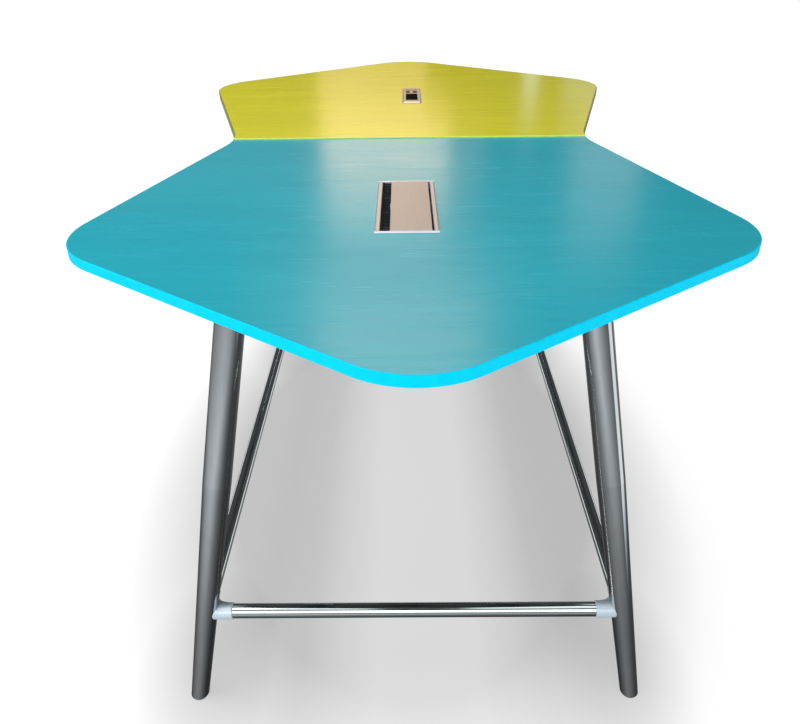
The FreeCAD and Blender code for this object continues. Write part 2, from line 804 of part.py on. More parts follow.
def socket_insert(y):
    """A flat socket outlet with a shallow round well and pin holes."""
    body = centred_block((0, y), insert_width - 2 * insert_body_inset, socket_length - 2 * insert_body_inset,
                         (-insert_flange_thickness - insert_body_depth, -insert_flange_thickness))
    socket = insert_form(socket_length, y).fuse(body).removeSplitter()
    well_floor = insert_top - socket_well_depth
    socket = socket.cut(rod(socket_well_diameter, V(0, y, well_floor), V(0, y, insert_top)))
    spots = [(0, -socket_hole_spacing / 2), (0, socket_hole_spacing / 2), (socket_earth_offset, 0)]
    for x, dy in spots:
        socket = socket.cut(rod(socket_hole_diameter, V(x, y + dy, well_floor),
                                V(x, y + dy, well_floor - socket_hole_depth)))
    return socket


def port_plate():
    """The metal plate with two ports and the hole of the button."""
    plate = insert_form(port_plate_length, port_plate_y)
    z = (-insert_flange_thickness, insert_top)
    for side in (-1, 1):
        plate = plate.cut(centred_block((side * port_x, port_plate_y), port_width, port_length, z))
    hole = button_diameter + 2 * button_side_gap
    return plate.cut(rod(hole, V(0, port_plate_y, z[0]), V(0, port_plate_y, z[1])))


def port_shutter(side):
    """The closed shutter of one port, with a flange under the plate."""
    centre = (side * port_x, port_plate_y)
    under = -insert_flange_thickness
    face = centred_block(centre, port_width - 2 * slip_fit, port_length - 2 * slip_fit,
                         (under, insert_top - port_sink))
    flange = centred_block(centre, port_width + 2 * shutter_flange, port_length + 2 * shutter_flange,
                           (under - shutter_flange_thickness, under))
    body = centred_block(centre, port_width - 2 * slip_fit, port_length - 2 * slip_fit,
                         (under - shutter_depth, under))
    return face.fuse([flange, body]).removeSplitter()


def push_button():
    """The button: a bevelled cap, a stop flange under the plate and a stem."""
    axis = V(0, port_plate_y, 0)
    cap_top = insert_top + button_rise
    cap = rod(button_diameter, axis + V(0, 0, button_flange_top), axis + V(0, 0, cap_top))
    cap = cap.makeChamfer(button_edge_bevel, at_level(cap, cap_top))
    flange_bottom = button_flange_top - button_flange_thickness
    flange = rod(button_flange_diameter, axis + V(0, 0, flange_bottom), axis + V(0, 0, button_flange_top))
    stem = rod(button_stem_diameter, axis + V(0, 0, flange_bottom - button_stem_length),
               axis + V(0, 0, flange_bottom))
    return cap.fuse([flange, stem]).removeSplitter()


def button_switch():
    """The switch body that stands on the housing floor and guides the stem."""
    body = centred_block((0, port_plate_y), switch_width, switch_length, (housing_floor, switch_top))
    stem_bottom = button_flange_top - button_flange_thickness - button_stem_length
    bore_bottom = stem_bottom - button_travel - switch_top_room
    bore = rod(button_stem_diameter + 2 * running_fit,
               V(0, port_plate_y, bore_bottom), V(0, port_plate_y, switch_top))
    return body.cut(bore)


def mains_inlet():
    """A recessed inlet with three pins, on the far end of the housing."""
    start = housing_length / 2
    z = (inlet_z - inlet_height / 2, inlet_z + inlet_height / 2)
    body = block((-inlet_width / 2, inlet_width / 2), (start, start + inlet_length), z)
    inset = inlet_spigot_inset + slip_fit
    spigot = block((-inlet_width / 2 + inset, inlet_width / 2 - inset), (start - housing_wall, start),
                   (z[0] + inset, z[1] - inset))
    recess_start = start + inlet_length - inlet_recess
    recess = block((-inlet_width / 2 + inlet_wall, inlet_width / 2 - inlet_wall),
                   (recess_start, start + inlet_length), (z[0] + inlet_wall, z[1] - inlet_wall))
    inlet = body.fuse(spigot).removeSplitter().cut(recess)
    pins = [rod(inlet_pin_diameter, V(step * inlet_pin_spacing, recess_start, inlet_z),
                V(step * inlet_pin_spacing, recess_start + inlet_pin_length, inlet_z)) for step in (-1, 0, 1)]
    return inlet.fuse(pins).removeSplitter()


def module_clamp(side):
    clamp = angle_clamp(side, housing_width / 2, -far_board_thickness, module_clamp_drop)
    return clamp.cut(module_screw_hole(side))


def module_screw_seat(side):
    level = -far_board_thickness - clamp_thickness / 2 - module_clamp_drop / 2
    return V(side * (housing_width / 2 + clamp_thickness), 0, level)


def module_screw(side):
    return round_screw(clamp_screw_head_diameter, clamp_screw_head_height, clamp_screw_diameter,
                       clamp_screw_length, module_screw_seat(side), V(-side, 0, 0))


def module_screw_hole(side):
    seat = module_screw_seat(side)
    return rod(clamp_screw_diameter + 2 * slip_fit, seat, seat + V(-side, 0, 0) * clamp_screw_length)


# Boards and bands, with the cut-outs and every hole that goes into them

def build_top():
    near_face, far_face = half_faces()
    near_board, near_band = board_and_band(near_face, near_board_thickness)
    far_board, far_band = board_and_band(far_face, far_board_thickness)
    near_board = near_board.cut(centred_block((cable_box_x, cable_box_y), cable_cutout_width,
                                              cable_cutout_length, (board_underside, worktop_height)))
    far_board = far_board.cut(centred_block((module_x, module_y), module_cutout_width,
                                            module_cutout_length, (board_underside, far_top)))
    holes = [dowel(x, dowel_diameter + 2 * slip_fit, dowel_length + 2 * dowel_end_room)
             for x in dowel_positions]
    screw_holes = [rail_screw_hole(place) for place in rail_screw_places()]
    nodes["top_board_near"] = near_board.cut(holes + screw_holes)
    nodes["top_board_far"] = far_board.cut(holes + screw_holes)
    nodes["edge_band_near"] = near_band.cut(holes + screw_holes)
    nodes["edge_band_far"] = far_band.cut(holes + screw_holes)
    nodes["seam_dowels"] = Part.makeCompound(
        [dowel(x, dowel_diameter, dowel_length) for x in dowel_positions])


def build_rails():
    screw_holes = [rail_screw_hole(place) for place in rail_screw_places()]
    bolt_holes = [mount_bolt_hole(place) for sx, sy in leg_corners.values()
                  for place in mount_bolt_places(sx, sy)]
    for name, side in (("left", -1), ("right", 1)):
        rail = rail_tube((side * leg_top_x, 0), rail_width, side_rail_length)
        nodes["side_rail_" + name] = rail.cut(screw_holes + bolt_holes)
    cross_length = 2 * leg_top_x - rail_width
    for name, y in (("near", -cross_rail_from_seam), ("mid", 0), ("far", cross_rail_from_seam)):
        rail = rail_tube((0, y), cross_length, rail_width)
        nodes["cross_rail_" + name] = rail.cut(screw_holes)
    nodes["rail_end_plugs"] = Part.makeCompound([rail_plug(side, end) for side in (-1, 1) for end in (-1, 1)])
    nodes["rail_screws"] = Part.makeCompound([rail_screw(place) for place in rail_screw_places()])


def build_legs():
    for name, (sx, sy) in leg_corners.items():
        nodes["leg_" + name] = leg(sx, sy)
        nodes["leg_mount_" + name] = leg_mount(sx, sy)
        nodes["glide_" + name] = glide(sx, sy)
        nodes["connector_" + name] = connector(sx, sy)
    corners = leg_corners.values()
    nodes["mount_bolts"] = Part.makeCompound(
        [mount_bolt(place) for sx, sy in corners for place in mount_bolt_places(sx, sy)])
    nodes["leg_set_screws"] = Part.makeCompound([set_screw(sx, sy) for sx, sy in corners])
    nodes["connector_bolts"] = Part.makeCompound([connector_bolt(sx, sy) for sx, sy in corners])


def build_footrest():
    ends = {name: axis_point(sx, sy, bar_height) for name, (sx, sy) in leg_corners.items()}
    nodes["footrest_near"] = bar(ends["near_left"], ends["near_right"])
    nodes["footrest_far"] = bar(ends["far_left"], ends["far_right"])
    nodes["footrest_left"] = bar(ends["near_left"], ends["far_left"])
    nodes["footrest_right"] = bar(ends["near_right"], ends["far_right"])


def build_cable_box():
    spots = [(side, y) for side in (-1, 1) for y in (-cable_clamp_y, cable_clamp_y)]
    pieces = {
        "cable_box_rail_left": cable_rail(-1),
        "cable_box_rail_right": cable_rail(1),
        "cable_box_end_near": cable_end(-1),
        "cable_box_end_far": cable_end(1),
        "cable_box_lid": cable_lid(),
        "cable_box_hinge_pins": Part.makeCompound([hinge_pin(-1), hinge_pin(1)]),
        "cable_brush_holder": brush_holder(),
        "cable_brush_bristles": bristles(),
        "cable_bin": cable_bin(),
        "cable_box_clamps": Part.makeCompound([cable_clamp(side, y) for side, y in spots]),
        "cable_box_screws": Part.makeCompound([cable_screw(side, y) for side, y in spots]),
    }
    nodes.update({name: in_cable_box(shape) for name, shape in pieces.items()})


def build_module():
    first_socket = -opening_length / 2 + socket_length / 2
    pieces = {
        "module_frame": module_frame(),
        "module_housing": module_housing(),
        "module_socket_near": socket_insert(first_socket),
        "module_socket_far": socket_insert(first_socket + socket_length),
        "module_port_plate": port_plate(),
        "module_port_shutters": Part.makeCompound([port_shutter(-1), port_shutter(1)]),
        "module_button": push_button(),
        "module_button_switch": button_switch(),
        "module_mains_inlet": mains_inlet(),
        "module_clamps": Part.makeCompound([module_clamp(-1), module_clamp(1)]),
        "module_screws": Part.makeCompound([module_screw(-1), module_screw(1)]),
    }
    nodes.update({name: in_module(shape) for name, shape in pieces.items()})


build_top()
build_rails()
build_legs()
build_footrest()
build_cable_box()
build_module()

os.makedirs("parts", exist_ok=True)
for name, shape in nodes.items():
    shape.exportStep("parts/" + name + ".step")
    print(name, "solids", len(shape.Solids), "valid", shape.isValid(), "litres", round(shape.Volume / 1e6, 4))
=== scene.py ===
import json
import math
import random

import bpy
from mathutils import Matrix, Vector


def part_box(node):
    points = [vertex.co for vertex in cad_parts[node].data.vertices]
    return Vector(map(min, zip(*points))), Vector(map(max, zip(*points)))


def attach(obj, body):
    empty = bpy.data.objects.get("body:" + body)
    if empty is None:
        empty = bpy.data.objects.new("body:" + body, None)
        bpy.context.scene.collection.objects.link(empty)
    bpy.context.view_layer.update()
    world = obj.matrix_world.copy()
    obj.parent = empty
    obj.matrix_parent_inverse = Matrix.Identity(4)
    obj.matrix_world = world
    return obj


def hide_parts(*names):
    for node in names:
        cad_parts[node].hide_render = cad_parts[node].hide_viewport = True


# Looks of a bar-height desk with an hourglass top. Metres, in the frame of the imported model.

# Camera: the photograph's lens, place and angles
PHOTO_WIDTH = 800
FOCAL_PIXELS = 730.0
SENSOR_WIDTH = 36.0
CAMERA_PLACE = Vector((-0.0157, -1.9131, 1.5406))
CAMERA_YAW = math.radians(-0.452)
CAMERA_PITCH = math.radians(31.433)
CAMERA_ROLL = math.radians(0.678)

# Floor: its colour, and its own glow by distance round the desk, with painted shadow under the desk, painted
# light beside a line along Y, and painted shadow near the feet
FLOOR_SIZE = 60.0
FLOOR_COLOUR = (0.1, 0.1, 0.1)
FLOOR_MOTTLE = 0.985
FLOOR_ROUGHNESS = 0.8
FLOOR_RADII = (0.70, 1.14)
FLOOR_REACH = 1.5
FLOOR_GLOW_PAINTED_SHADOW = [(0.78, 0.44), (0.92, 0.59), (1.09, 0.76), (1.22, 0.90), (1.4, 0.97)]
FLOOR_MIDDLE = 0.03
FLOOR_MIDDLE_PAINTED_LIGHT = [(0.12, 0.19), (0.22, 0.11), (0.30, 0.025), (0.40, 0.0)]
FOOT_PLACE = (0.50, 0.80)
FOOT_RADII = (0.17, 0.32)
FOOT_PAINTED_SHADOW = [(0.15, 0.16), (1.0, 0.0)]

# Ground that polished metal mirrors: brightness by degrees from the front and by depth, with bright strips
GROUND_COLOUR = (0.70, 0.73, 0.76)
GROUND_BY_ANGLE = [(-180, 0.65), (-160, 0.5), (-132, 0.25), (-100, 0.5), (-65, 0.8), (-34, 1.0), (-14, 1.0),
                   (12, 0.75), (38, 0.48), (68, 0.25), (112, 0.25), (140, 0.5), (180, 0.65)]
GROUND_BY_DEPTH = [(0.0, 0.7), (0.14, 0.72), (0.34, 1.0), (0.54, 0.42), (0.8, 0.22), (1.0, 0.12)]
STRIPS = [
    {"angle": [(66, 0.0), (72, 1.0), (98, 1.0), (104, 0.0)],
     "depth": [(0.40, 1.0), (0.50, 0.0)],
     "colour": (1.1, 1.15, 1.18)},
    {"angle": [(-154, 0.0), (-148, 1.0), (-132, 1.0), (-126, 0.0),
               (126, 0.0), (132, 1.0), (148, 1.0), (154, 0.0)],
     "depth": [(0.08, 0.0), (0.12, 1.0), (0.24, 1.0), (0.28, 0.0)],
     "colour": (1.4, 1.36, 1.34)},
]

# Sky above the horizon, with a dark gap along Y, and the plain backdrop that the camera sees
HORIZON_LIGHT = (0.07, 0.075, 0.08)
HORIZON_BLEND = 0.01
SKY_LIGHT = (1.42, 1.42, 1.44)
SKY_FROM = 0.78
SKY_FULL = 0.93
SKY_GAP = [(-0.05, 1.0), (-0.03, 0.12), (0.07, 0.12), (0.09, 1.0)]
BACKDROP = (1.0, 1.0, 1.0)

# Lamps: place, target, width, height and power
OVERHEAD = ((-3.4, -0.7, 4.4), (0, 0, 1.0), 4.0, 5.0, 240)
FRONT_FILL = ((-0.6, -4.4, 2.1), (0, 0, 0.9), 5.0, 2.4, 110)
BAND_FILL = ((2.6, -3.0, 1.3), (0.4, -0.6, 1.04), 1.5, 1.5, 30)

# Wall behind the desk, where upright panels stand
BACK_WALL_Y = 3.2

# Panels that show as highlights on metal trim: place, target, width and height
HIGHLIGHT_ABOVE = ((0, -1.1, 4.0), (0, -0.9, 1.05), 2.6, 3.4)
HIGHLIGHT_BEHIND = ((0, BACK_WALL_Y, 1.1), (0, 0, 1.05), 8.0, 0.9)

# Windows: bright panels at that wall, with their X span, Z span, brightness and colour
WARM = (1.0, 0.70, 0.46)
NEUTRAL = (1.0, 0.88, 0.80)
COOL = (0.66, 0.85, 1.0)
WINDOWS = {
    "window_left": ((-2.2, -0.6), (1.85, 2.3), 0.2, NEUTRAL),
    "window_low": ((-0.58, 0.14), (1.25, 1.8), 0.65, WARM),
    "window_middle": ((-0.58, 0.30), (1.8, 2.2), 2.8, WARM),
    "window_side": ((0.30, 0.55), (1.85, 2.3), 0.5, WARM),
    "window_upper": ((-0.58, 0.30), (2.2, 2.55), 1.8, WARM),
    "window_high": ((-0.7, 0.4), (2.55, 3.1), 0.35, WARM),
    "window_top": ((-0.75, 0.6), (3.1, 5.2), 2.3, WARM),
    "window_wide": ((-1.3, 0.95), (2.8, 4.8), 0.28, WARM),
    "window_slit": ((0.79, 0.88), (1.2, 1.75), 1.1, COOL),
    "window_right": ((1.05, 1.7), (1.3, 1.8), 0.5, COOL),
    "window_far_right": ((1.17, 1.67), (1.85, 2.75), 0.65, NEUTRAL),
}

# The pieces that the windows, the band fill and the highlights light, by how their names start.
# Trim also has the brightness of its highlights, above and behind.
TOP_PIECES = ("top_board", "edge_band", "cable_box", "cable_brush", "module_frame", "module_port_plate")
EDGE_BANDS = ("edge_band",)
TRIM = [
    (("cable_box_rail", "cable_box_end"), 0.9, 1.2),
    (("module_frame",), 3.0, 1.2),
]

# Patterns: the span that most of a noise fills, and stretches along X, Y and Z
NOISE_SPAN = (0.3, 0.7)
FINE_GRAIN = (30, 300, 30)
FIGURE_GRAIN = (5, 105, 5)
FLOW_GRAIN = (3, 14, 3)
FIGURE_DISTORTION = 1.4
TIMBER_GRAIN = (700, 40, 700)
FIBRE_LINES = (2, 330, 2)
BRUSHED = (900, 14, 900)
POLISHED = (60, 60, 14)
PLATED = (300, 300, 300)
CAST = (260, 260, 260)

# Laminate: roughness from the lines of its figure to the gaps between, and a dark painted shade on faces that
# look down, standing for the underside's shadow
LAMINATE_ROUGHNESS = (0.18, 0.28)
UNDERSIDE_PAINTED_SHADE = (0.06, 0.06, 0.06)
LOOKS_DOWN = -0.5

# Depth from the seam over which the far edge band turns from lime to a dark olive, which is painted shade on
# the outer sides that face away from the light
SEAM_BAND_DEPTH = (0.003, 0.006)

# Bristles of the cable box
FIBRES_PER_METRE = 3600
FIBRE_WIDTH = 0.00034
FIBRE_LENGTH_SPREAD = 0.0006
FIBRE_LEAN = 0.0011
FIBRE_TIP_SHARE = 0.6
FIBRE_SEED = 11

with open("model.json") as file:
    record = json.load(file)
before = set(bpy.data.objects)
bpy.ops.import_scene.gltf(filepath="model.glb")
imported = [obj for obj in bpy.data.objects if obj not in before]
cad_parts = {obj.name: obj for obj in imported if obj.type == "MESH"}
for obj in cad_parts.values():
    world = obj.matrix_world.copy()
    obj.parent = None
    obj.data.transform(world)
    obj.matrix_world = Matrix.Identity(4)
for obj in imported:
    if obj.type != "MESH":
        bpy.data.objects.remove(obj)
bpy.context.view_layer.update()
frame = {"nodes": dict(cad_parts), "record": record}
nodes = frame["nodes"]


# Materials

def new_material(name):
    """An empty node material with its shader and a reader of the row frame's coordinates."""
    material = bpy.data.materials.new(name)
    material.use_nodes = True
    tree = material.node_tree
    shader = tree.nodes["Principled BSDF"]
    place = tree.nodes.new("ShaderNodeTexCoord")
    return material, tree, shader, place.outputs["Object"]


def noise(tree, place, scale, stretch=(1, 1, 1), detail=4.0, roughness=0.55, distortion=0.0):
    """A noise pattern over the row frame, stretched along the axes."""
    mapping = tree.nodes.new("ShaderNodeMapping")
    mapping.inputs["Scale"].default_value = stretch
    tree.links.new(place, mapping.inputs["Vector"])
    texture = tree.nodes.new("ShaderNodeTexNoise")
    texture.inputs["Scale"].default_value = scale
    texture.inputs["Detail"].default_value = detail
    texture.inputs["Roughness"].default_value = roughness
    texture.inputs["Distortion"].default_value = distortion
    tree.links.new(mapping.outputs["Vector"], texture.inputs["Vector"])
    return texture.outputs["Fac"]


def ramp(tree, factor, stops):
    """A colour ramp between (position, colour) stops."""
    node = tree.nodes.new("ShaderNodeValToRGB")
    elements = node.color_ramp.elements
    while len(elements) < len(stops):
        elements.new(0.5)
    for element, (position, colour) in zip(elements, stops):
        element.position = position
        element.color = (*colour, 1.0)
    tree.links.new(factor, node.inputs["Fac"])
    return node.outputs["Color"]


def grey(value):
    """A colour with three equal channels."""
    return (value, value, value)


def grey_ramp(tree, factor, stops):
    """A ramp between (position, brightness) stops."""
    return ramp(tree, factor, [(position, grey(value)) for position, value in stops])


def between(tree, pattern, first, second):
    """A noise pattern that runs from one colour to another."""
    return ramp(tree, pattern, [(NOISE_SPAN[0], first), (NOISE_SPAN[1], second)])


def mix(tree, factor, first, second, blend="MIX"):
    """A mix of two colours by a factor, which is a number or a pattern."""
    node = tree.nodes.new("ShaderNodeMix")
    node.data_type = "RGBA"
    node.blend_type = blend
    for name, value in (("Factor", factor), ("A", first), ("B", second)):
        socket = node.inputs[name]
        if isinstance(value, bpy.types.NodeSocket):
            tree.links.new(value, socket)
        elif isinstance(value, tuple):
            socket.default_value = (*value, 1.0)
        else:
            socket.default_value = value
    return next(out for out in node.outputs if out.type == "RGBA")


def times(tree, first, second):
    """The product of two colours or patterns."""
    return mix(tree, 1.0, first, second, "MULTIPLY")


def mix_shaders(tree, factor, first, second):
    """A shader that changes from one to another with a factor."""
    node = tree.nodes.new("ShaderNodeMixShader")
    tree.links.new(factor, node.inputs["Fac"])
    tree.links.new(first, node.inputs[1])
    tree.links.new(second, node.inputs[2])
    return node.outputs["Shader"]


def spread(tree, factor, low, high, span=(0.0, 1.0)):
    """A pattern moved from its span to run between two values."""
    node = tree.nodes.new("ShaderNodeMapRange")
    node.inputs["From Min"].default_value = span[0]
    node.inputs["From Max"].default_value = span[1]
    node.inputs["To Min"].default_value = low
    node.inputs["To Max"].default_value = high
    tree.links.new(factor, node.inputs["Value"])
    return node.outputs["Result"]


def bump(tree, shader, height, strength, distance):
    """Gives a shader the small relief of a pattern."""
    node = tree.nodes.new("ShaderNodeBump")
    node.inputs["Strength"].default_value = strength
    node.inputs["Distance"].default_value = distance
    tree.links.new(height, node.inputs["Height"])
    tree.links.new(node.outputs["Normal"], shader.inputs["Normal"])


def shade(colour, amount):
    """A colour made lighter or darker by a factor."""
    return tuple(min(1.0, channel * amount) for channel in colour)


def laminate(name, face, specular=0.5):
    """Coloured laminate with a wood grain along X, and a dark painted shade on faces that look down, standing
    for the shadowed underside.
    """
    material, tree, shader, place = new_material(name)
    fine = noise(tree, place, 1.0, FINE_GRAIN, 5.0, 0.6)
    figure = noise(tree, place, 1.0, FIGURE_GRAIN, 2.0, 0.5, FIGURE_DISTORTION)
    flow = noise(tree, place, 1.0, FLOW_GRAIN, 3.0, 0.5)
    cloud = noise(tree, place, 2.2)
    grain = ramp(tree, fine, [(0.30, shade(face, 0.95)), (0.5, face), (0.72, shade(face, 1.04))])
    lines = grey_ramp(tree, figure, [(0.34, 0.97), (0.62, 1.0)])
    bands = between(tree, flow, grey(0.94), grey(1.0))
    clouds = between(tree, cloud, grey(0.95), grey(1.0))
    coloured = times(tree, times(tree, times(tree, grain, lines), bands), clouds)
    geometry = tree.nodes.new("ShaderNodeNewGeometry")
    split = tree.nodes.new("ShaderNodeSeparateXYZ")
    tree.links.new(geometry.outputs["Normal"], split.inputs["Vector"])
    # Faces that look down get a dark painted shade in place of the underside's shadow
    below = tree.nodes.new("ShaderNodeMath")
    below.operation = "LESS_THAN"
    below.inputs[1].default_value = LOOKS_DOWN
    tree.links.new(split.outputs["Z"], below.inputs[0])
    tree.links.new(mix(tree, below.outputs["Value"], coloured, UNDERSIDE_PAINTED_SHADE), shader.inputs["Base Color"])
    tree.links.new(spread(tree, figure, *LAMINATE_ROUGHNESS, NOISE_SPAN), shader.inputs["Roughness"])
    shader.inputs["Specular IOR Level"].default_value = specular
    bump(tree, shader, mix(tree, 0.6, fine, figure), 0.04, 0.0004)
    return material


def plastic(name, colour, roughness, texture_scale, texture_strength, specular=0.5):
    """Moulded or extruded plastic with a slight mottle and a fine surface."""
    material, tree, shader, place = new_material(name)
    mottle = between(tree, noise(tree, place, 60.0), shade(colour, 0.93), shade(colour, 1.04))
    tree.links.new(mottle, shader.inputs["Base Color"])
    fine = noise(tree, place, texture_scale, detail=2.0)
    tree.links.new(spread(tree, fine, roughness - 0.05, roughness + 0.07), shader.inputs["Roughness"])
    shader.inputs["Specular IOR Level"].default_value = specular
    bump(tree, shader, fine, texture_strength, 0.0003)
    return material


def metal(name, colour, roughness, stretch, brushing, contrast=0.06, metallic=1.0):
    """A metal whose fine marks are stretched along the axes, for brushed, cast or polished finishes."""
    material, tree, shader, place = new_material(name)
    marks = noise(tree, place, 1.0, stretch, 4.0, 0.6)
    cloud = noise(tree, place, 7.0)
    lines = between(tree, marks, shade(colour, 1 - contrast), shade(colour, 1 + contrast))
    soft = between(tree, cloud, grey(0.95), grey(1.0))
    tree.links.new(times(tree, lines, soft), shader.inputs["Base Color"])
    shader.inputs["Metallic"].default_value = metallic
    smoothest = max(0.02, roughness - 0.06)
    tree.links.new(spread(tree, marks, smoothest, roughness + 0.06), shader.inputs["Roughness"])
    if brushing > 0:
        bump(tree, shader, marks, brushing, 0.0002)
    return material


def seam_band(name, seam_colour, painted_shade_side_colour):
    """An edge band that is bright along the seam, with painted shade darkening it to olive round the outer
    sides.
    """
    material, tree, shader, place = new_material(name)
    split = tree.nodes.new("ShaderNodeSeparateXYZ")
    tree.links.new(place, split.inputs["Vector"])
    painted_shade_sides = spread(tree, split.outputs["Y"], 0.0, 1.0, SEAM_BAND_DEPTH)
    mottle = between(tree, noise(tree, place, 60.0), grey(0.93), grey(1.0))
    coloured = mix(tree, painted_shade_sides, seam_colour, painted_shade_side_colour)
    tree.links.new(times(tree, coloured, mottle), shader.inputs["Base Color"])
    fine = noise(tree, place, 400.0, detail=2.0)
    tree.links.new(spread(tree, fine, 0.32, 0.42), shader.inputs["Roughness"])
    shader.inputs["Specular IOR Level"].default_value = 0.15
    bump(tree, shader, fine, 0.04, 0.0003)
    return material


def fibre(name, dark, light):
    """Stiff black fibre with fine lighter lines across the brush."""
    material, tree, shader, place = new_material(name)
    lines = noise(tree, place, 1.0, FIBRE_LINES, 2.0)
    tree.links.new(ramp(tree, lines, [(0.52, dark), (0.66, light)]), shader.inputs["Base Color"])
    tree.links.new(spread(tree, lines, 0.55, 0.7), shader.inputs["Roughness"])
    shader.inputs["Specular IOR Level"].default_value = 0.1
    return material


def painted(name, colour):
    """Fine-textured powder paint on steel."""
    material, tree, shader, place = new_material(name)
    orange_peel = noise(tree, place, 900.0, detail=2.0)
    dust = noise(tree, place, 12.0)
    tree.links.new(ramp(tree, dust, [(0.35, shade(colour, 0.85)), (0.7, shade(colour, 1.25))]),
                   shader.inputs["Base Color"])
    tree.links.new(spread(tree, orange_peel, 0.42, 0.6), shader.inputs["Roughness"])
    bump(tree, shader, orange_peel, 0.25, 0.0003)
    return material


def timber(name, colour):
    """Turned beech with its grain along Y."""
    material, tree, shader, place = new_material(name)
    grain = noise(tree, place, 1.0, TIMBER_GRAIN, 5.0)
    tree.links.new(between(tree, grain, shade(colour, 0.75), shade(colour, 1.1)), shader.inputs["Base Color"])
    shader.inputs["Roughness"].default_value = 0.7
    return material


materials = {
    "near_laminate": laminate("teal_laminate", (0.016, 0.385, 0.480)),
    "far_laminate": laminate("yellow_laminate", (0.68, 0.645, 0.017), 0.3),
    "near_edge": plastic("cyan_edge", (0.0, 0.53, 0.76), 0.35, 400.0, 0.04, 0.03),
    # The far band's dark olive is painted shade of its lime on the outer sides
    "far_edge": seam_band("lime_edge", (0.66, 0.82, 0.12), (0.15, 0.17, 0.03)),
    "dowel_wood": timber("beech", (0.48, 0.30, 0.15)),
    "rail_paint": painted("dark_paint", (0.014, 0.014, 0.016)),
    "black_plastic": plastic("black_plastic", (0.006, 0.006, 0.006), 0.65, 700.0, 0.12, 0.06),
    "zinc_steel": metal("zinc_steel", (0.55, 0.56, 0.58), 0.32, PLATED, 0.03),
    "leg_chrome": metal("leg_chrome", (0.60, 0.62, 0.63), 0.07, POLISHED, 0.0, 0.04),
    "bar_chrome": metal("bar_chrome", (0.60, 0.66, 0.65), 0.07, POLISHED, 0.0, 0.04),
    "cast_satin": metal("satin_casting", (0.62, 0.74, 0.82), 0.45, CAST, 0.05, metallic=0.3),
    "champagne_aluminium": metal("champagne_aluminium", (0.52, 0.54, 0.585), 0.45, BRUSHED, 0.04),
    "bezel_aluminium": metal("bezel_aluminium", (0.34, 0.305, 0.238), 0.45, BRUSHED, 0.04),
    "bristle_fibre": fibre("bristle_fibre", (0.006, 0.007, 0.009), (0.10, 0.11, 0.13)),
    "bin_paint": painted("bin_paint", (0.018, 0.018, 0.019)),
    "button_white": plastic("button_white", (0.80, 0.80, 0.77), 0.25, 300.0, 0.02),
}


def dress_nodes():
    """Gives every CAD node the material of its slot."""
    for entry in frame["record"]["subparts"]:
        mesh = nodes[entry["node"]].data
        mesh.materials.clear()
        mesh.materials.append(materials[entry["material_slot"]])


# Brush of the cable box

def fibre_mesh(name):
    """One mesh of many thin tapered fibres, from the brush holder to the lid."""
    holder_low, holder_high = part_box("cable_brush_holder")
    tuft_low, tuft_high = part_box("cable_brush_bristles")
    chance = random.Random(FIBRE_SEED)
    count = int(FIBRES_PER_METRE * (tuft_high.y - tuft_low.y))
    vertices = []
    faces = []
    for index in range(count):
        along = tuft_low.y + (index + chance.random()) / count * (tuft_high.y - tuft_low.y)
        along = min(max(along, tuft_low.y + FIBRE_LEAN), tuft_high.y - FIBRE_LEAN)
        level = chance.uniform(tuft_low.z + FIBRE_WIDTH, tuft_high.z - FIBRE_WIDTH)
        root = Vector((holder_high.x - FIBRE_LENGTH_SPREAD, along, level))
        tip = Vector((tuft_high.x - chance.random() * FIBRE_LENGTH_SPREAD,
                      along + chance.uniform(-FIBRE_LEAN, FIBRE_LEAN),
                      level - chance.random() * FIBRE_LEAN / 2))
        half = FIBRE_WIDTH / 2
        base = len(vertices)
        for point, size in ((root, half), (tip, half * FIBRE_TIP_SHARE)):
            vertices += [point + Vector((0, size, -size)), point + Vector((0, 0, size)),
                         point + Vector((0, -size, -size))]
        for side in range(3):
            following = (side + 1) % 3
            faces.append((base + side, base + following, base + 3 + following, base + 3 + side))
        faces.append((base + 2, base + 1, base))
        faces.append((base + 3, base + 4, base + 5))
    mesh = bpy.data.meshes.new(name)
    mesh.from_pydata(vertices, [], faces)
    mesh.materials.append(materials["bristle_fibre"])
    return mesh


def add_brush():
    """Shows fibres in place of the solid tufts."""
    brush = bpy.data.objects.new("brush_fibres", fibre_mesh("brush_fibres"))
    bpy.context.scene.collection.objects.link(brush)
    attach(brush, "frame")
    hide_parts("cable_brush_bristles")


# Stage

def oval_distance(tree, place, centre, radii):
    """The distance from a centre on the floor, in units of an oval's radii."""
    oval = tree.nodes.new("ShaderNodeMapping")
    oval.inputs["Location"].default_value = (-centre[0] / radii[0], -centre[1] / radii[1], 0)
    oval.inputs["Scale"].default_value = (1 / radii[0], 1 / radii[1], 0)
    tree.links.new(place, oval.inputs["Vector"])
    length = tree.nodes.new("ShaderNodeVectorMath")
    length.operation = "LENGTH"
    tree.links.new(oval.outputs["Vector"], length.inputs[0])
    return length.outputs["Value"]


def by_distance(tree, distance, stops):
    """A grey ramp over the floor, with stops by distance."""
    share = spread(tree, distance, 0.0, 1.0, (0.0, FLOOR_REACH))
    return grey_ramp(tree, share, [(reach / FLOOR_REACH, value) for reach, value in stops])


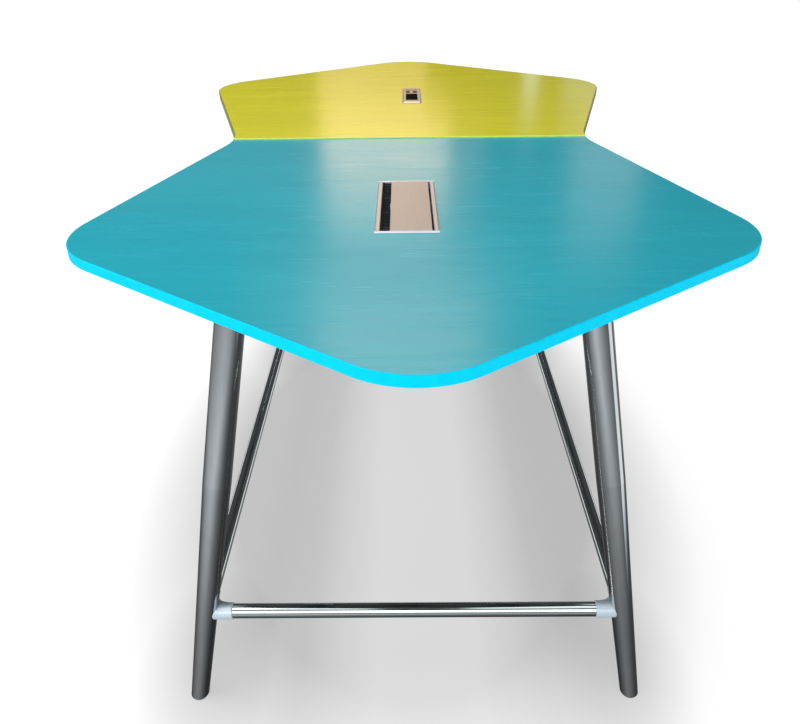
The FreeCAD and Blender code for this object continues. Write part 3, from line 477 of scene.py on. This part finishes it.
def add_floor():
    """A pale floor that glows, with painted shadow under the desk and round its feet and painted light along
    the middle, and clear from below.

    Polished metal mirrors the ground instead.
    """
    half = FLOOR_SIZE / 2
    mesh = bpy.data.meshes.new("floor")
    corners = [(-half, -half, 0), (half, -half, 0), (half, half, 0), (-half, half, 0)]
    mesh.from_pydata(corners, [], [(0, 1, 2, 3)])
    material, tree, shader, place = new_material("pale_floor")
    cloud = between(tree, noise(tree, place, 1.5), shade(FLOOR_COLOUR, FLOOR_MOTTLE), FLOOR_COLOUR)
    tree.links.new(cloud, shader.inputs["Base Color"])
    shader.inputs["Roughness"].default_value = FLOOR_ROUGHNESS
    # The feet stand alike in the four quarters of the floor
    quarter = tree.nodes.new("ShaderNodeVectorMath")
    quarter.operation = "ABSOLUTE"
    tree.links.new(place, quarter.inputs[0])
    from_desk = oval_distance(tree, place, (0, 0), FLOOR_RADII)
    from_middle = oval_distance(tree, place, (FLOOR_MIDDLE, 0), (1, math.inf))
    from_foot = oval_distance(tree, quarter.outputs["Vector"], FOOT_PLACE, FOOT_RADII)
    # The glow paints shadow under the desk and round the feet, and paints light along the middle
    around = by_distance(tree, from_desk, FLOOR_GLOW_PAINTED_SHADOW)
    middle = by_distance(tree, from_middle, FLOOR_MIDDLE_PAINTED_LIGHT)
    feet = by_distance(tree, from_foot, FOOT_PAINTED_SHADOW)
    glow = mix(tree, 1.0, mix(tree, 1.0, around, middle, "ADD"), feet, "SUBTRACT")
    shader.inputs["Emission Color"].default_value = (1, 1, 1, 1)
    tree.links.new(glow, shader.inputs["Emission Strength"])
    underneath = tree.nodes.new("ShaderNodeNewGeometry").outputs["Backfacing"]
    clear = tree.nodes.new("ShaderNodeBsdfTransparent")
    tree.links.new(mix_shaders(tree, underneath, shader.outputs["BSDF"], clear.outputs["BSDF"]),
                   tree.nodes["Material Output"].inputs["Surface"])
    mesh.materials.append(material)
    floor = bpy.data.objects.new("floor", mesh)
    floor.visible_glossy = False
    bpy.context.scene.collection.objects.link(floor)


def add_area(name, place, target, width, height, power, colour=(1, 1, 1)):
    """A rectangular lamp that faces a target and that the camera doesn't see."""
    light = bpy.data.lights.new(name, "AREA")
    light.shape = "RECTANGLE"
    light.size = width
    light.size_y = height
    light.energy = power
    light.color = colour
    lamp = bpy.data.objects.new(name, light)
    lamp.location = place
    lamp.rotation_euler = (Vector(target) - Vector(place)).to_track_quat("-Z", "Y").to_euler()
    lamp.visible_camera = False
    bpy.context.scene.collection.objects.link(lamp)
    return lamp


def pieces_that_start(name, starts):
    """A collection of the CAD nodes whose names start in one of the given ways, for a lamp to light."""
    chosen = bpy.data.collections.new(name)
    for node_name, node in nodes.items():
        if node_name.startswith(starts):
            chosen.objects.link(node)
    return chosen


def add_highlight(name, place, target, width, height, brightness, receivers):
    """A panel that shows only as a highlight on bevelled metal trim."""
    lamp = add_area(name, place, target, width, height, brightness * math.pi * width * height)
    lamp.visible_diffuse = False
    lamp.light_linking.receiver_collection = receivers


def add_panel(name, x, z, brightness, colour, receivers):
    """A bright upright panel behind the desk, which shows as a soft reflection on its top."""
    width = x[1] - x[0]
    height = z[1] - z[0]
    place = ((x[0] + x[1]) / 2, BACK_WALL_Y, (z[0] + z[1]) / 2)
    power = brightness * math.pi * width * height
    panel = add_area(name, place, (place[0], 0, place[2]), width, height, power, colour)
    panel.light_linking.receiver_collection = receivers


def by_angle(tree, turn, stops):
    """A grey ramp over a full turn, with stops in degrees from the front."""
    return grey_ramp(tree, turn, [((degrees + 180) / 360, value) for degrees, value in stops])


def ground(tree, split):
    """The ground that polished metal mirrors: brightest in front, dark straight down, with bright strips."""
    angle = tree.nodes.new("ShaderNodeMath")
    angle.operation = "ARCTAN2"
    back = tree.nodes.new("ShaderNodeMath")
    back.operation = "MULTIPLY"
    back.inputs[1].default_value = -1.0
    tree.links.new(split.outputs["Y"], back.inputs[0])
    tree.links.new(split.outputs["X"], angle.inputs[0])
    tree.links.new(back.outputs["Value"], angle.inputs[1])
    turn = spread(tree, angle.outputs["Value"], 0.0, 1.0, (-math.pi, math.pi))
    depth = spread(tree, split.outputs["Z"], 1.0, 0.0, (-1.0, 0.0))
    shading = times(tree, by_angle(tree, turn, GROUND_BY_ANGLE), grey_ramp(tree, depth, GROUND_BY_DEPTH))
    colour = times(tree, shading, GROUND_COLOUR)
    for strip in STRIPS:
        place = times(tree, by_angle(tree, turn, strip["angle"]), grey_ramp(tree, depth, strip["depth"]))
        colour = mix(tree, place, colour, strip["colour"])
    return colour


def add_world():
    """The surroundings that metal mirrors, and a plain backdrop for the camera."""
    world = bpy.data.worlds.new("studio")
    world.use_nodes = True
    tree = world.node_tree
    direction = tree.nodes.new("ShaderNodeTexCoord").outputs["Generated"]
    split = tree.nodes.new("ShaderNodeSeparateXYZ")
    tree.links.new(direction, split.inputs["Vector"])
    across = spread(tree, split.outputs["X"], 0.0, 1.0, (-1.0, 1.0))
    gap = grey_ramp(tree, across, [((x + 1) / 2, value) for x, value in SKY_GAP])
    sky = times(tree, ramp(tree, split.outputs["Z"], [(SKY_FROM, HORIZON_LIGHT), (SKY_FULL, SKY_LIGHT)]), gap)
    above = spread(tree, split.outputs["Z"], 0.0, 1.0, (-HORIZON_BLEND, HORIZON_BLEND))
    around = mix(tree, above, ground(tree, split), sky)
    seen = tree.nodes.new("ShaderNodeLightPath").outputs["Is Camera Ray"]
    tree.links.new(mix(tree, seen, around, BACKDROP), tree.nodes["Background"].inputs["Color"])
    bpy.context.scene.world = world


def add_light():
    """Soft lamps over the desk and in front of it, and the panels that only some pieces show."""
    add_area("overhead", *OVERHEAD)
    add_area("front_fill", *FRONT_FILL)
    bands = add_area("band_fill", *BAND_FILL)
    bands.light_linking.receiver_collection = pieces_that_start("lit_by_band_fill", EDGE_BANDS)
    for starts, above, behind in TRIM:
        trim = pieces_that_start("lit_by_highlights", starts)
        add_highlight("highlight_above", *HIGHLIGHT_ABOVE, above, trim)
        add_highlight("highlight_behind", *HIGHLIGHT_BEHIND, behind, trim)
    top = pieces_that_start("lit_by_windows", TOP_PIECES)
    for name, (x, z, brightness, colour) in WINDOWS.items():
        add_panel(name, x, z, brightness, colour, top)


def add_camera():
    """A camera at the photograph's place, with its yaw, pitch and small roll."""
    ahead = Vector((math.sin(CAMERA_YAW) * math.cos(CAMERA_PITCH),
                    math.cos(CAMERA_YAW) * math.cos(CAMERA_PITCH), -math.sin(CAMERA_PITCH)))
    level = Vector((math.cos(CAMERA_YAW), -math.sin(CAMERA_YAW), 0))
    down = ahead.cross(level)
    right = level * math.cos(CAMERA_ROLL) + down * math.sin(CAMERA_ROLL)
    up = level * math.sin(CAMERA_ROLL) - down * math.cos(CAMERA_ROLL)
    lens = bpy.data.cameras.new("camera")
    lens.sensor_fit = "HORIZONTAL"
    lens.sensor_width = SENSOR_WIDTH
    lens.lens = FOCAL_PIXELS / PHOTO_WIDTH * SENSOR_WIDTH
    camera = bpy.data.objects.new("camera", lens)
    camera.matrix_world = Matrix.Translation(CAMERA_PLACE) @ Matrix((right, up, -ahead)).transposed().to_4x4()
    bpy.context.scene.collection.objects.link(camera)
    bpy.context.scene.camera = camera


dress_nodes()
add_brush()
add_floor()
add_world()
add_light()
add_camera()
bpy.context.scene.view_settings.view_transform = "Standard"
